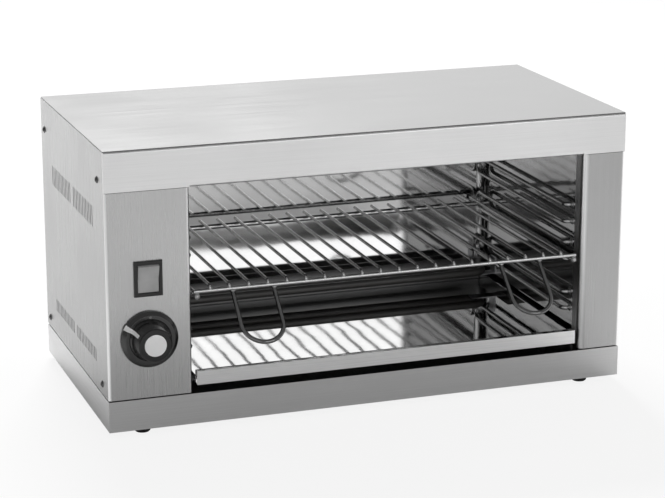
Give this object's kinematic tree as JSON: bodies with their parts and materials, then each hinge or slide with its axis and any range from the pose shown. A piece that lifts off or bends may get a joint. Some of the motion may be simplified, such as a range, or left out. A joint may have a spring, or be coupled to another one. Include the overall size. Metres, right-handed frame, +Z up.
{
  "type": "salamander grill",
  "caption": "Countertop salamander grill: folded steel cabinet open at the front, polished cavity with sheathed elements, slide-out wire rack and crumb tray, timer knob and rocker switch.",
  "frame": {"origin": "centre of the whole object's box, on the plane that the feet stand on", "axes": "+Z up, +X to the right seen from the front, the open front faces -Y"},
  "size_m": [0.4934, 0.2964, 0.258],
  "materials": {
    "steel_brushed": "brushed along the sheet",
    "steel_polished": "polished, mirror-like",
    "wire_chrome": "bright plated wire",
    "element_sheath": "heat-darkened alloy sheath",
    "ceramic_white": "unglazed",
    "terminal_plated": "plain",
    "knob_black": "satin moulded",
    "skirt_metal": "dark bright-turned ring",
    "cap_silver": "spun",
    "mark_white": "printed",
    "switch_black": "fine moulded grain",
    "rocker_grey": "smooth moulded",
    "timer_plastic": "moulded",
    "gland_black": "moulded",
    "rubber_black": "matt",
    "screw_steel": "blackened zinc"
  },
  "bodies": {
    "cabinet": {"base_pan": "steel_brushed", "left_panel": "steel_brushed", "right_panel": "steel_brushed", "front_top_rail": "steel_brushed", "top_cover": "steel_brushed", "rear_panel": "steel_brushed", "cavity_liner": "steel_polished", "cavity_roof": "steel_polished", "left_tray_rail": "steel_brushed", "right_tray_rail": "steel_brushed", "left_lower_guide": "wire_chrome", "left_middle_guide": "wire_chrome", "left_upper_guide": "wire_chrome", "right_lower_guide": "wire_chrome", "right_middle_guide": "wire_chrome", "right_upper_guide": "wire_chrome", "upper_element_front": "element_sheath", "upper_element_rear": "element_sheath", "lower_element": "element_sheath", "element_bushings": "ceramic_white", "element_terminals": "terminal_plated", "element_brackets": "steel_polished", "timer_body": "timer_plastic", "timer_nut": "screw_steel", "switch_housing": "switch_black", "spade_terminals": "terminal_plated", "terminal_block": "timer_plastic", "cable_gland": "gland_black", "gland_locknut": "gland_black", "rubber_feet": "rubber_black", "foot_screws": "screw_steel", "side_screws": "screw_steel", "rear_screws": "screw_steel"},
    "rack": {"wire_rack": "wire_chrome", "rack_handles": "wire_chrome"},
    "tray": {"crumb_tray": "steel_polished"},
    "knob": {"timer_knob": "knob_black", "knob_skirt": "skirt_metal", "knob_cap": "cap_silver", "knob_marks": "mark_white", "timer_shaft": "screw_steel"},
    "rocker": {"switch_rocker": "rocker_grey"}
  },
  "joints": [
    {"name": "rack_slide", "type": "slide", "parent": "cabinet", "child": "rack", "axis": [0, -1, 0], "range_m": [0, 0.14]},
    {"name": "tray_slide", "type": "slide", "parent": "cabinet", "child": "tray", "axis": [0, -1, 0], "range_m": [0, 0.18]},
    {"name": "knob_turn", "type": "hinge", "parent": "cabinet", "child": "knob", "pos_m": [-0.2075, -0.11282, 0.089], "axis": [0, 1, 0], "range_deg": [-90, 210]},
    {"name": "rocker_tilt", "type": "hinge", "parent": "cabinet", "child": "rocker", "pos_m": [-0.2075, -0.11162, 0.1435], "axis": [-1, 0, 0], "range_deg": [0, 16]}
  ]
}
